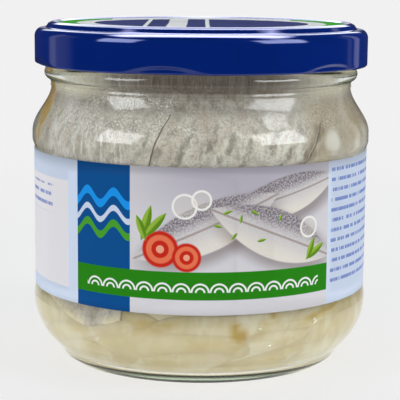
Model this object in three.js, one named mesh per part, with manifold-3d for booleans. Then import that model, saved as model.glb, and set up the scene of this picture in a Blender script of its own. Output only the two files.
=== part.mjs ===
// A shut glass jar of herring fillets: a squat jar with a twist-off lid and a paper label round
// its waist. The fillets stand round the wall, skin outwards, on a bed of onion slices.
// Millimetres, +Z up. The origin is the middle of the foot ring on the table, the label faces -Y.

import * as THREE from 'three';
import { mergeVertices } from 'three/addons/utils/BufferGeometryUtils.js';
import Module from 'manifold-3d';

const wasm = await Module();
wasm.setup();

// Everything round has the same number of sides, a multiple of the six lugs of the lid. Food keeps
// the gap from the glass, and a little more because the glass has flat sides. The insides of the
// heaps have fewer sides, as they hardly show.
const sides = 60;
const coreSides = 24;
const gap = 0.3;
const flatness = 0.1;

// Outside of the glass, from the table up.
const pushUp = 1.9;
const pushUpEdge = 1.4;
const pushUpRadius = 27;
const footInner = 32.4;
const footOuter = 34.4;
const footRound = 1.1;
const footArc = [-50, -10];
const bodyRadius = 42.7;
const heelRadius = 15.6;
const heelTop = 15.4;
const heelFrom = -52;
const panelRadius = 41.8;
const panelBottom = 17.6;
const panelTop = 53.8;
const panelStep = 0.9;
const shoulderRadius = 42.8;
const shoulderZ = 57.2;
const neckZ = 69.0;
const neckRadius = 37.9;
const beadRadius = 39.65;
const beadZ = 72.0;
const beadHalf = 2.2;
const beadCorners = [-62, -25, 25, 58];
const finishRadius = 38.6;
const rimZ = 82.7;
const rimRound = 0.9;

// Inside of the glass.
const boreRadius = 35.4;
const insideRadiusMax = 39.5;
const insideBase = 3.0;
const insideHeel = 12.2;
const insideDome = 0.6;
const insideShoulder = 56.4;
const insideNeck = 70.4;

// Twist-off lid: a sheet metal cap with a raised ring round a slightly sunk panel.
const lidRadius = 42.05;
const lidBottom = 73.9;
const lidTop = 84.65;
const lidSheet = 0.5;
const lidCorner = 2.2;
const lidCornerSink = 3.7;
const lidCornerTo = 68;
const lidCornerInside = 80;
const ridgeRadius = 37.8;
const ridgeHalf = 0.75;
const ridgeOuterSink = 0.5;
const ridgeInnerSink = 0.1;
const grooveSink = 1.55;
const panelSink = 0.5;
const buttonRadius = 12;
const buttonSink = 0.25;
const curl = 0.62;
const curlArc = [-180, -30];
const lugs = 6;
const firstLug = -12;
const lugHalfAngle = 17;
const lugDepth = 0.9;
const lugHeight = 2.2;
const lugSlope = 1.1;

// Paper label.
const labelInner = panelRadius + gap;
const labelSheet = 0.3;
const labelBottom = 18.5;
const labelTop = 53.05;

// Fillets. They stand side by side round the wall and meet along lines that lean and bend, given
// as [height, azimuth] from low to high. Azimuths are degrees from the front, towards +X.
const looseBack = [[12, 280], [53.8, 281.5], [56.9, 280.5], [59.5, 275], [61.5, 263], [77, 250]];
const looseFront = [[12, -79], [53.8, -78], [56.9, -74], [60, -72.5], [63, -73.5], [66.4, -76], [77, -80]];
const slit = [[12, -28], [40, -23], [53, -17.2], [58, -15], [61, -12.8], [77, -5]];
const crevice = [[16, 18], [53, 37], [58, 42.5], [62.3, 47.5], [77, 54]];
const rightLine = [[16, 70], [54, 78], [62, 82], [77, 89]];
const backRight = [[16, 126], [50, 128], [77, 131]];
const back = [[14, 173], [50, 176], [77, 180]];
const backLeft = [[17, 216], [50, 227], [77, 238]];

// Each fillet has its lowest height, where across it that lies, its top, and the width in mm and
// the depth over which its two long edges roll back from the glass.
const tight = { wide: 1.0, deep: 1.0 };
const loose = { wide: 3.0, deep: 3.4 };
const fillets = [
  { left: looseFront, right: slit, bottom: 12.3, dip: 0.45, top: 75.6, edges: [loose, tight] },
  { left: slit, right: crevice, bottom: 19.0, dip: 0.0, top: 75.0, edges: [tight, tight] },
  { left: crevice, right: rightLine, bottom: 17.0, dip: -0.3, top: 75.4, edges: [tight, tight] },
  { left: rightLine, right: backRight, bottom: 19.0, dip: 0.2, top: 74.8, edges: [tight, tight] },
  { left: backRight, right: back, bottom: 14.5, dip: 0.3, top: 75.6, edges: [tight, tight] },
  { left: back, right: backLeft, bottom: 18.0, dip: -0.4, top: 74.9, edges: [tight, tight] },
  { left: backLeft, right: looseBack, bottom: 17.0, dip: 0.0, top: 75.3, edges: [tight, loose] },
];
const onionTop = 18;
const endRise = 5.0;
const endShape = 1.3;
const endRoll = 1.2;
const filletThick = 8;
const seam = 0.3;

// Heights of the rows of a fillet, from its lower end at 0 to its top at 1, closer at the shoulder.
const filletRows = [0, 0.03, 0.34, 0.61, 0.7, 0.76, 0.82, 0.88, 0.93, 1];

// The fillets further in are one core. It comes nearer to the glass in the gap beside the loose edge.
const coreInset = 5.8;
const coreTop = 74.4;
const bulgeAzimuth = 276;
const bulgeHalf = 16;
const bulgeDepth = 3.2;
const bulgeFrom = 46;
const bulgeFull = 53;

// Onion bed: a puck with slices lying against the glass, in rings from low to high.
// Corners nearer to each other than this are joined where slices cross.
const smallestEdge = 0.2;
const onionFloor = insideBase + insideDome + gap;
const puckInset = 1.2;
const onionRings = [
  { height: 6.8, long: 17, wide: 3.6, lean: 3 },
  { height: 11.6, long: 16, wide: 3.9, lean: 12 },
  { height: 16.0, long: 17, wide: 3.4, lean: -7 },
];
const slicesPerRing = 6;
const sliceThick = 0.55;
const sliceRoot = 1.6;
const sliceBow = 0.12;
const sliceTaper = 2.6;
const sliceTip = 0.99;
const sliceRadius = 37;
const sliceSeed = 11;
const strayAzimuth = 10;
const strayHeight = 1.0;
const strayLength = 0.22;
const strayWidth = 0.2;
const strayLean = 14;

const degrees = THREE.MathUtils.degToRad;
const point = (radius, z) => new THREE.Vector2(radius, z);

// Points of a profile along a circle, from one angle to another, in degrees from straight outwards.
function arc(centreRadius, centreZ, radius, from, to, steps) {
  const points = [];
  for (let step = 0; step <= steps; step += 1) {
    const angle = degrees(THREE.MathUtils.lerp(from, to, step / steps));
    points.push(point(centreRadius + radius * Math.cos(angle), centreZ + radius * Math.sin(angle)));
  }
  return points;
}

// Half a cosine wave, flat at both ends, between two radii.
function waveRadius(z, lowRadius, lowZ, highRadius, highZ) {
  const share = THREE.MathUtils.clamp((z - lowZ) / (highZ - lowZ), 0, 1);
  return THREE.MathUtils.lerp(lowRadius, highRadius, (1 - Math.cos(Math.PI * share)) / 2);
}

// Radius of the inside of the glass at a height above the inside of its base, or of a surface that
// keeps a distance from it all over.
function insideRadius(z, inset = 0) {
  const heelCentre = insideRadiusMax - insideHeel;
  const drop = insideBase + insideHeel - z;
  if (drop > 0) {
    return heelCentre + Math.sqrt(Math.max(0, (insideHeel - inset) ** 2 - drop ** 2));
  }
  return waveRadius(z, insideRadiusMax, insideShoulder, boreRadius, insideNeck) - inset;
}

// Turns a profile round the upright axis. The first column of points faces the front, -Y.
function turned(profile, sideCount = sides) {
  const geometry = new THREE.LatheGeometry(profile, sideCount);
  geometry.rotateX(Math.PI / 2);
  return geometry;
}

// A closed solid for joining and cutting: shared corners are merged and empty triangles dropped.
function solid(geometry) {
  const bare = geometry.clone();
  bare.deleteAttribute('normal');
  bare.deleteAttribute('uv');
  const merged = mergeVertices(bare, 1e-4);
  const index = merged.index.array;
  const corners = [];
  for (let start = 0; start < index.length; start += 3) {
    const [a, b, c] = index.slice(start, start + 3);
    if (a !== b && b !== c && c !== a) {
      corners.push(a, b, c);
    }
  }
  const mesh = new wasm.Mesh({
    numProp: 3,
    vertProperties: new Float32Array(merged.attributes.position.array),
    triVerts: new Uint32Array(corners),
  });
  return new wasm.Manifold(mesh);
}

function geometryOf(manifold) {
  const mesh = manifold.getMesh();
  const geometry = new THREE.BufferGeometry();
  geometry.setAttribute('position', new THREE.BufferAttribute(new Float32Array(mesh.vertProperties), 3));
  geometry.setIndex(new THREE.BufferAttribute(new Uint32Array(mesh.triVerts), 1));
  geometry.computeVertexNormals();
  return geometry;
}

// Keeps the largest body of a solid and drops loose scraps.
function largestBody(manifold) {
  const bodies = manifold.decompose();
  return bodies.reduce((best, body) => (body.volume() > best.volume() ? body : best));
}

function addPiece(group, name, geometry, material) {
  const mesh = new THREE.Mesh(geometry, new THREE.MeshStandardMaterial(material));
  mesh.name = name;
  group.add(mesh);
}

// The jar: pushed-up base, foot ring, rounded heel, sunk label panel, shoulder, neck, transfer bead
// and a plain rim under the lid.
function jarGeometry() {
  const heelCentre = bodyRadius - heelRadius;
  const outside = [
    point(0, pushUp),
    point(pushUpRadius, pushUpEdge),
    point(footInner, 0),
    point(footOuter, 0),
    ...arc(footOuter, footRound, footRound, ...footArc, 1),
    ...arc(heelCentre, heelTop, heelRadius, heelFrom, 0, 6),
    point(bodyRadius, panelBottom - panelStep),
    point(panelRadius, panelBottom),
    point(panelRadius, panelTop),
    point(shoulderRadius, panelTop + panelStep),
  ];
  const shoulderSteps = 5;
  for (let step = 0; step <= shoulderSteps; step += 1) {
    const z = THREE.MathUtils.lerp(shoulderZ, neckZ, step / shoulderSteps);
    outside.push(point(waveRadius(z, shoulderRadius, shoulderZ, neckRadius, neckZ), z));
  }
  const beadDepth = beadRadius - neckRadius;
  for (const angle of beadCorners) {
    const turn = degrees(angle);
    outside.push(point(neckRadius + beadDepth * Math.cos(turn), beadZ + beadHalf * Math.sin(turn)));
  }
  outside.push(point(finishRadius, beadZ + beadHalf));
  outside.push(...arc(finishRadius - rimRound, rimZ - rimRound, rimRound, 0, 90, 2));
  outside.push(point(boreRadius + rimRound, rimZ));
  outside.push(point(boreRadius, rimZ - rimRound));

  const inside = [];
  const neckSteps = 4;
  for (let step = 0; step <= neckSteps; step += 1) {
    const z = THREE.MathUtils.lerp(insideNeck, insideShoulder, step / neckSteps);
    inside.push(point(insideRadius(z), z));
  }
  inside.push(...arc(insideRadiusMax - insideHeel, insideBase + insideHeel, insideHeel, 0, -90, 5));
  inside.push(point(0, insideBase + insideDome));
  return turned([...outside, ...inside]);
}

// How far a lug is pressed in at an azimuth in degrees, from 0 between lugs to 1 at its middle.
function lugPress(azimuth) {
  const pitch = 360 / lugs;
  const offset = THREE.MathUtils.euclideanModulo(azimuth - firstLug + pitch / 2, pitch) - pitch / 2;
  const share = Math.min(1, Math.abs(offset) / lugHalfAngle);
  return Math.cos((Math.PI / 2) * share);
}

// The lid: one bent sheet, with the rolled edge pressed in at the lugs that hold the glass.
function lidGeometry() {
  const panelZ = lidTop - panelSink;
  const cornerRadius = lidRadius - lidCorner;
  const cornerZ = lidTop - lidCornerSink;
  const innerSink = lidSheet + buttonSink;
  const outer = [
    point(lidRadius, lidBottom + lugHeight - lugSlope),
    point(lidRadius, lidBottom + lugHeight - lugSlope / 2),
    point(lidRadius, lidBottom + lugHeight),
    ...arc(cornerRadius, cornerZ, lidCorner, 0, lidCornerTo, 3),
    point(ridgeRadius + 2 * ridgeHalf, lidTop - grooveSink),
    point(ridgeRadius + ridgeHalf, lidTop - ridgeOuterSink),
    point(ridgeRadius, lidTop),
    point(ridgeRadius - ridgeHalf, lidTop - ridgeInnerSink),
    point(ridgeRadius - 2 * ridgeHalf, panelZ),
    point(buttonRadius, panelZ),
    point(0, panelZ - buttonSink),
  ];
  const inner = [
    point(0, panelZ - innerSink),
    point(ridgeRadius - 2 * ridgeHalf, panelZ - lidSheet),
    point(ridgeRadius - ridgeHalf / 2, lidTop - ridgeInnerSink - lidSheet),
    point(ridgeRadius + ridgeHalf, lidTop - grooveSink - lidSheet / 2),
    ...arc(cornerRadius, cornerZ, lidCorner - lidSheet, lidCornerInside, 0, 2),
    point(lidRadius - lidSheet, lidBottom + 3 * curl),
  ];
  const rolled = arc(lidRadius - curl, lidBottom + curl, curl, ...curlArc, 4);
  const geometry = turned([...inner, ...rolled, ...outer]);
  const position = geometry.attributes.position;
  for (let corner = 0; corner < position.count; corner += 1) {
    const x = position.getX(corner);
    const y = position.getY(corner);
    const z = position.getZ(corner);
    const azimuth = THREE.MathUtils.radToDeg(Math.atan2(x, -y));
    const press = lugPress(azimuth);
    const down = THREE.MathUtils.smoothstep(lidBottom + lugHeight * press - z, 0, lugSlope);
    const radius = Math.hypot(x, y);
    const scale = radius > 0 ? 1 - (lugDepth * press * down) / radius : 1;
    position.setXY(corner, x * scale, y * scale);
  }
  return geometry;
}

function labelGeometry() {
  const outer = labelInner + labelSheet;
  return turned([
    point(labelInner, labelBottom),
    point(outer, labelBottom),
    point(outer, labelTop),
    point(labelInner, labelTop),
    point(labelInner, labelBottom),
  ]);
}

// A closed slab over a grid of front points and the matching back points.
function slab(front, back, across, up) {
  const row = across + 1;
  const count = row * (up + 1);
  const corners = [...front, ...back].flatMap((corner) => [corner.x, corner.y, corner.z]);
  const index = [];
  const quad = (a, b, c, d) => index.push(a, b, c, a, c, d);
  for (let j = 0; j < up; j += 1) {
    for (let i = 0; i < across; i += 1) {
      const a = j * row + i;
      quad(a, a + 1, a + row + 1, a + row);
      quad(count + a, count + a + row, count + a + row + 1, count + a + 1);
    }
  }
  for (let i = 0; i < across; i += 1) {
    const top = up * row + i;
    quad(i, count + i, count + i + 1, i + 1);
    quad(top, top + 1, count + top + 1, count + top);
  }
  for (let j = 0; j < up; j += 1) {
    const left = j * row;
    const right = left + across;
    quad(left, left + row, count + left + row, count + left);
    quad(right, count + right, count + right + row, right + row);
  }
  const geometry = new THREE.BufferGeometry();
  geometry.setAttribute('position', new THREE.Float32BufferAttribute(corners, 3));
  geometry.setIndex(index);
  return geometry;
}

// Point on the upright cylinder of a radius, at an azimuth in degrees from the front.
function onWall(azimuth, radius, z) {
  const turn = degrees(azimuth);
  return new THREE.Vector3(radius * Math.sin(turn), -radius * Math.cos(turn), z);
}

// Azimuth of a meeting line at a height.
function along(line, z) {
  const above = line.findIndex(([height]) => height >= z);
  if (above <= 0) {
    return above === 0 ? line[0][1] : line[line.length - 1][1];
  }
  const [lowZ, low] = line[above - 1];
  const [highZ, high] = line[above];
  return THREE.MathUtils.mapLinear(z, lowZ, highZ, low, high);
}

// How far a rounded edge of a width has turned in, from 0 to 1, at a distance from it.
function roll(distance, width) {
  const share = Math.max(0, 1 - distance / width);
  return 1 - Math.sqrt(Math.max(0, 1 - share ** 2));
}

// A fillet bent round the wall: flat to the glass in its middle, its edges and its lower end
// rolled back. The grown one is what the onions keep clear of.
function filletSolid(fillet, grow = 0) {
  const across = 7;
  const up = filletRows.length - 1;
  const perDegree = degrees(insideRadiusMax);
  const clear = (seam / 2 - grow) / perDegree;
  const [leftEdge, rightEdge] = fillet.edges;
  const front = [];
  const behind = [];
  for (let j = 0; j <= up; j += 1) {
    for (let i = 0; i <= across; i += 1) {
      const u = Math.sin((Math.PI / 2) * ((2 * i) / across - 1));
      const bottom = fillet.bottom + endRise * Math.abs(u - fillet.dip) ** endShape - grow;
      const z = THREE.MathUtils.lerp(bottom, fillet.top, filletRows[j]);
      const left = along(fillet.left, z) + clear;
      const right = along(fillet.right, z) - clear;
      const azimuth = THREE.MathUtils.mapLinear(u, -1, 1, left, right);
      const rolledLeft = leftEdge.deep * roll((azimuth - left) * perDegree, leftEdge.wide);
      const rolledRight = rightEdge.deep * roll((right - azimuth) * perDegree, rightEdge.wide);
      const rolledEnd = loose.deep * roll(z - bottom, endRoll);
      const wall = insideRadius(z, gap + flatness - grow);
      front.push(onWall(azimuth, wall - Math.max(rolledLeft, rolledRight, rolledEnd), z));
      behind.push(onWall(azimuth, wall - filletThick - 2 * grow, z));
    }
  }
  return solid(slab(front, behind, across, up));
}

// The space inside the glass, drawn in by an amount all round, between two heights.
function spaceGeometry(inset, lowZ, highZ, steps, sideCount) {
  const profile = [point(0, lowZ)];
  for (let step = 0; step <= steps; step += 1) {
    const z = THREE.MathUtils.lerp(lowZ, highZ, step / steps);
    profile.push(point(insideRadius(z, inset), z));
  }
  profile.push(point(0, highZ));
  return turned(profile, sideCount);
}

// The fillets further in, which show in the gap beside the loose edge.
function coreSolid() {
  const geometry = spaceGeometry(coreInset, onionTop + gap, coreTop, 9, coreSides);
  const position = geometry.attributes.position;
  for (let corner = 0; corner < position.count; corner += 1) {
    const x = position.getX(corner);
    const y = position.getY(corner);
    const azimuth = THREE.MathUtils.radToDeg(Math.atan2(x, -y));
    const away = THREE.MathUtils.euclideanModulo(azimuth - bulgeAzimuth + 180, 360) - 180;
    const share = THREE.MathUtils.smoothstep(position.getZ(corner), bulgeFrom, bulgeFull);
    const radius = Math.hypot(x, y);
    const rise = bulgeDepth * share * Math.exp(-((away / bulgeHalf) ** 2));
    const scale = radius > 0 ? 1 + rise / radius : 1;
    position.setXY(corner, x * scale, y * scale);
  }
  return solid(geometry);
}

// The heap of fillets: the core with every fillet fused to it.
function filletHeap() {
  const heap = fillets.reduce((sum, fillet) => sum.add(filletSolid(fillet)), coreSolid());
  return largestBody(heap);
}

// A slice of onion: a bowed strip of a layer, bent to the glass and pressed flat against it.
function sliceSolid({ azimuth, height, long, wide, lean }) {
  const across = 5;
  const section = 4;
  const twist = degrees(lean);
  const corners = [];
  const index = [];
  for (let i = 0; i <= across; i += 1) {
    const share = Math.sin((Math.PI / 2) * ((2 * i) / across - 1));
    const slim = Math.sqrt(1 - Math.min(sliceTip, Math.abs(share)) ** sliceTaper);
    const bow = sliceBow * long * share ** 2;
    for (let k = 0; k < section; k += 1) {
      const around = (2 * Math.PI * k) / section;
      const side = wide * slim * Math.sin(around) - bow;
      const x = long * share * Math.cos(twist) - side * Math.sin(twist);
      const rise = long * share * Math.sin(twist) + side * Math.cos(twist);
      const z = THREE.MathUtils.clamp(height + rise, onionFloor, onionTop);
      const inwards = Math.cos(around) < 0 ? sliceRoot : sliceThick;
      const deep = sliceThick - inwards * slim * Math.cos(around);
      const wall = insideRadius(z, gap + flatness);
      const corner = onWall(azimuth + THREE.MathUtils.radToDeg(x / sliceRadius), wall - deep, z);
      corners.push(corner.x, corner.y, corner.z);
    }
  }
  for (let i = 0; i < across; i += 1) {
    for (let k = 0; k < section; k += 1) {
      const a = i * section + k;
      const b = i * section + ((k + 1) % section);
      index.push(a, a + section, b, b, a + section, b + section);
    }
  }
  for (let k = 1; k < section - 1; k += 1) {
    const last = across * section;
    index.push(0, k, k + 1);
    index.push(last, last + k + 1, last + k);
  }
  const geometry = new THREE.BufferGeometry();
  geometry.setAttribute('position', new THREE.Float32BufferAttribute(corners, 3));
  geometry.setIndex(index);
  return solid(geometry);
}

// Repeatable random numbers from -1 to 1.
function seededRandom(seed) {
  let state = seed;
  return () => {
    state = (state * 16807) % 2147483647;
    return (2 * state) / 2147483647 - 1;
  };
}

// The onion bed: slices fused to a puck, kept off the glass and off the fillets above.
function onionHeap() {
  const random = seededRandom(sliceSeed);
  let bed = solid(spaceGeometry(puckInset, onionFloor, onionTop, 6, coreSides));
  for (const ring of onionRings) {
    for (let number = 0; number < slicesPerRing; number += 1) {
      const slice = {
        azimuth: (360 * number) / slicesPerRing + strayAzimuth * random(),
        height: ring.height + strayHeight * random(),
        long: ring.long * (1 + strayLength * random()),
        wide: ring.wide * (1 + strayWidth * random()),
        lean: ring.lean + strayLean * random(),
      };
      bed = bed.add(sliceSolid(slice));
    }
  }
  const low = fillets.filter((fillet) => fillet.bottom < onionTop + gap);
  const cleared = low.reduce((sum, fillet) => sum.subtract(filletSolid(fillet, gap)), bed);
  return largestBody(cleared.simplify(smallestEdge));
}

const glass = { color: 0xdfe6d8, roughness: 0.05, metalness: 0 };
const blueLacquer = { color: 0x021f66, roughness: 0.25, metalness: 0.3 };
const paper = { color: 0xcdd6e6, roughness: 0.55, metalness: 0 };
const fishSkin = { color: 0xb5b0a0, roughness: 0.35, metalness: 0 };
const paleOnion = { color: 0xd8cba6, roughness: 0.4, metalness: 0 };

const jarOfFillets = new THREE.Group();
addPiece(jarOfFillets, 'jar', jarGeometry(), glass);
addPiece(jarOfFillets, 'lid', lidGeometry(), blueLacquer);
addPiece(jarOfFillets, 'label', labelGeometry(), paper);
addPiece(jarOfFillets, 'fillets', geometryOf(filletHeap()), fishSkin);
addPiece(jarOfFillets, 'onions', geometryOf(onionHeap()), paleOnion);

export default jarOfFillets;
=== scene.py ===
import math

import bpy
from mathutils import Matrix, Vector, noise


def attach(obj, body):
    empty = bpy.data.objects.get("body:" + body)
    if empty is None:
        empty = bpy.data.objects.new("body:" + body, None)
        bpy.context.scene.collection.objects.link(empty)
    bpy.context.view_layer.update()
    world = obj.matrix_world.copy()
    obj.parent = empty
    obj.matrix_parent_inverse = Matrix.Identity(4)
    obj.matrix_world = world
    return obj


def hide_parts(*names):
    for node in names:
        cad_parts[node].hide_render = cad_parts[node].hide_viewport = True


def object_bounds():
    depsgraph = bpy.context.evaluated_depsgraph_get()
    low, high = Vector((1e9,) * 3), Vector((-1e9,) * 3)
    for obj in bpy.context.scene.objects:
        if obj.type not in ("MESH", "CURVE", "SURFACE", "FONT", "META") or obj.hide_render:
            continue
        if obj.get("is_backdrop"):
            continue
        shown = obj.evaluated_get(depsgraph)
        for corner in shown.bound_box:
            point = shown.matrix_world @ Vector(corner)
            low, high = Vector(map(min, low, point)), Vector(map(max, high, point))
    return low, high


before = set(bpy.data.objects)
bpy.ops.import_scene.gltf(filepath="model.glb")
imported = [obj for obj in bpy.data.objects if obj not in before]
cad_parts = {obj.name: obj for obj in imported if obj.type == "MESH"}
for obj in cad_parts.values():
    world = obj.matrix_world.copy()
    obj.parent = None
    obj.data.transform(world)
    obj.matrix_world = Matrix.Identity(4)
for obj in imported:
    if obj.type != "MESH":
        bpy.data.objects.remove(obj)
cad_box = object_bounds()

MM = 0.001
SEGMENTS = 240
FOOD_GAP = 0.15

# Camera, measured from the photograph.
CAMERA_DISTANCE = 363.1
CAMERA_HEIGHT = 97.9
CAMERA_PITCH = 9.256
CAMERA_ROLL = 0.454
CAMERA_FOCAL_PX = 1423.2
PHOTO_PX = 400
SENSOR_MM = 36.0

# Studio. Panels that gloss mirrors are (azimuth, half width in degrees, strength), and the patch of
# ceiling that it mirrors starts and is full at these shares of the view direction's y and z.
BACKDROP, FILL_LIGHT, DARK_STUDIO = 0.88, 0.30, 0.03
SIDE_PANELS = [(-121, 4.5, 0.34), (-111, 12, 0.28), (120.5, 3, 0.2), (132, 4.5, 0.6),
               (180, 7, 0.8), (-180, 7, 0.8)]
PANEL_TOP_SHARE = 0.5
CEILING, CEILING_Y, CEILING_Z = 18.0, (-0.12, 0.0), (0.80, 0.88)
MIRRORED_COLOUR = (0.92, 0.90, 1.0)
FLOOR_GREY, FLOOR_VARIES, FLOOR_GLOW = 0.30, 0.02, 0.66
FLOOR_WHITENS, FLOOR_MIRRORED = (0.10, 0.45), (0.08, 0.16)
# Lamps: (name, azimuth, elevation, width, height, strength as mirrored and as light).
SOFTBOXES = [
    ("left_box", -58, 23.5, 0.40, 0.49, 7.0, 4.8),
    ("right_box", 57, 25, 0.48, 0.49, 7.4, 4.8),
    ("right_tall", 68, 52, 0.18, 0.25, 4.2, 6.0),
    ("back_box", 180, 40, 0.70, 0.66, 4.0, 2.0),
]
LAMP_DISTANCE, LAMP_RIM, LAMP_AIM = 0.7, 0.16, 0.045
LAMP_COLOUR = (0.95, 0.98, 1.0)

# Glass, outside.
PUSH_UP, PUSH_UP_EDGE, PUSH_UP_RADIUS = 1.9, 1.4, 27.0
FOOT_INNER, FOOT_OUTER, FOOT_ROUND = 32.4, 34.4, 1.1
FOOT_END = (36.9, 3.4)
BODY_RADIUS, HEEL_RADIUS, HEEL_TOP, HEEL_FROM = 42.7, 15.6, 15.4, -52
PANEL_RADIUS, PANEL_BOTTOM, PANEL_TOP, PANEL_STEP = 42.2, 19.2, 53.3, 1.7
SHOULDER_RADIUS, SHOULDER_Z = 42.8, 57.2
NECK_RADIUS, NECK_Z = 37.9, 69.0
BEAD_RADIUS, BEAD_Z, BEAD_HALF = 39.65, 72.0, 2.2
FINISH_RADIUS, FINISH_Z, RIM_Z, RIM_ROUND = 38.6, 74.4, 82.7, 0.9
SEAM_Z, SEAM_HIGH, SEAM_HALF = 68.75, 0.28, 0.17
MOULD_SEAMS = (97, 277)

# Glass, inside.
BORE_RADIUS, INSIDE_RADIUS = 35.4, 39.5
INSIDE_BASE, INSIDE_HEEL, INSIDE_DOME = 3.0, 12.2, 0.6
INSIDE_SHOULDER, INSIDE_NECK = 56.4, 70.4
BRINE_TOP, BRINE_OVERLAP = 71.5, 0.25

# Lid.
LID_RADIUS, LID_BOTTOM, LID_TOP = 42.05, 73.9, 84.65
LID_SHEET, LID_CORNER, LID_CORNER_SINK, LID_CORNER_TO = 0.35, 2.2, 3.7, 68
RIDGE_RADIUS, RIDGE_HALF, CREST_INWARDS = 37.8, 0.75, 0.3
RIDGE_OUTER_SINK, RIDGE_INNER_SINK, GROOVE_SINK, PANEL_SINK = 0.5, 0.1, 1.55, 0.5
BUTTON_RADIUS, BUTTON_SINK = 12.0, 0.25
CURL = 0.62
LUGS, FIRST_LUG, LUG_HALF, LUG_DEPTH, LUG_HEIGHT, LUG_SLOPE = 6, -12.0, 17.0, 0.9, 2.2, 1.1
# The print on its top: stripes across a disc as (middle, half width), and the arcs beside it.
DISC_RADIUS, DISC_STRIPES = 27.0, [(-6.0, 2.4), (-13.5, 0.5), (1.5, 0.5)]
ARC_INNER, ARC_OUTER, ARC_ASIDE = 31.5, 36.6, 24.0

# Label.
LABEL_RADIUS, LABEL_SHEET = 42.31, 0.1
LABEL_BOTTOM, LABEL_TOP = 18.5, 53.05
LABEL_OVERLAP = (172.0, 180.0)

# Its print, in mm from the label's front and its lower edge. Boxes are (left, right, low, high).
FRONT_LEFT, PICTURE_LEFT, FRONT_RIGHT = -31.9, -16.6, 33.9
STRIP_LOW, STRIP_TOP = 3.6, 10.2
# Waves as (height, half thickness, colour).
WAVES = [(26.6, 1.0, (26, 150, 238)), (22.8, 0.7, (206, 219, 240)), (19.2, 0.9, (74, 160, 46))]
WAVE_SWING, WAVE_LENGTH = 1.5, 7.6
ARCH_PITCH, ARCH_RADII, ARCH_HEIGHT, ARCH_ENDS = 4.4, (2.0, 1.0), 5.4, (-28.6, 30.8)
WHITE_PANELS = [(-60, -35.4, 3.4, 29.3), (66, 122, 3.4, 31.2)]
SMALL_PRINT = [(35.2, 62, 3.6, 33.2), (68, 120, 5.0, 29.6), (-58, -42, 20.6, 27.6),
               (-126, -106, 6.0, 29.0)]
PRINT_PITCH, PRINT_FILL = 2.45, 0.42
BARS_GROUND, BARS = (-101, -72, 5.0, 24.5), (-98, -75, 7.5, 22.5)
# Middle, half sizes and lean of the fillets and leaves, middle and radius of the slices.
FILLET_SHAPES = [((21, 27.5), (16, 4.6), 14), ((1.5, 20.5), (19, 5.6), 24),
                 ((18.5, 18.5), (17.5, 5.8), -22)]
ONION_SHAPES = [((-3.5, 25.5), 3.0), ((0.4, 27.0), 2.4), ((27.5, 19.6), 2.6)]
TOMATO_SHAPES = [((-9.2, 15.4), 4.3), ((-3.0, 13.6), 3.4)]
LEAF_SHAPES = [
    ((-12.6, 21.4), (4.4, 1.1), 74), ((-10.4, 21.0), (4.0, 1.0), 48), ((-13.8, 20.2), (3.2, 0.9), 112),
    ((29.6, 13.6), (3.4, 0.9), 30), ((28.2, 14.4), (3.0, 0.8), 66), ((6.4, 24.2), (1.2, 0.36), 20),
    ((9.6, 22.6), (1.1, 0.34), 80), ((12.8, 24.0), (1.2, 0.36), -30), ((8.0, 18.6), (1.1, 0.34), 50),
    ((14.6, 17.4), (1.2, 0.36), 10), ((19.4, 22.4), (1.1, 0.34), 64), ((4.2, 21.0), (1.1, 0.34), -12)]

# Fillets, as they stand round the wall.
CORE_BOTTOM, CORE_TOP, CORE_INSET = 12.0, 74.8, 5.8
FILLET_THICK = 8.0
END_RISE, END_SHAPE, END_ROLL = 5.0, 1.3, 1.2
MM_PER_DEGREE = 0.69
EDGE_DEPTH, LOOSE_DEPTH, BACK_SPREAD = 1.0, 3.4, 0.05
CREVICE_SHADE = 1.9
DARK_TONGUE = -38.5
LOOSE_SIDES = {0: -1, 6: 1}
LOOSE_GAP, GAP_BULGE = (276, 16), (3.2, 46, 53)

# Lines along which fillets meet: (height, azimuth, gap in mm), a gap below 0 being an overlap.
LOOSE_BACK = [(12, 280, 0), (53.8, 281.5, 0), (56.9, 280.5, 0), (59.5, 275, 0), (61.5, 263, 0),
              (77, 250, 0)]
LOOSE_FRONT = [(12, -79, 0), (53.8, -78, 0), (56.9, -74, 0), (60, -72.5, 0), (63, -73.5, 0),
               (66.4, -76, 0), (77, -80, 0)]
SLIT = [(12, -28, 0.1), (40, -23, 0.1), (53, -17.2, 0.1), (58, -15, 0.12), (61, -12.8, 0.12),
        (63.8, -10.6, 0.06), (65.5, -9.5, -1.2), (77, -5, -1.2)]
CREVICE = [(16, 18, 0.3), (53, 37.0, 0.3), (58, 42.5, 0.4), (61, 46.0, 0.15), (62.3, 47.5, -1.4),
           (77, 54, -1.4)]
RIGHT_LINE = [(16, 70, 0.3), (54, 78, 0.3), (60, 81, 0.1), (62, 82, -1.2), (77, 89, -1.2)]
BACK_RIGHT = [(16, 126, 0.5), (50, 128, 0.4), (77, 131, 0.2)]
BACK = [(14, 173, 0.3), (50, 176, 0.3), (77, 180, 0.3)]
BACK_LEFT = [(17, 216, 0.3), (50, 227, 0.3), (77, 238, 0.2)]
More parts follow.
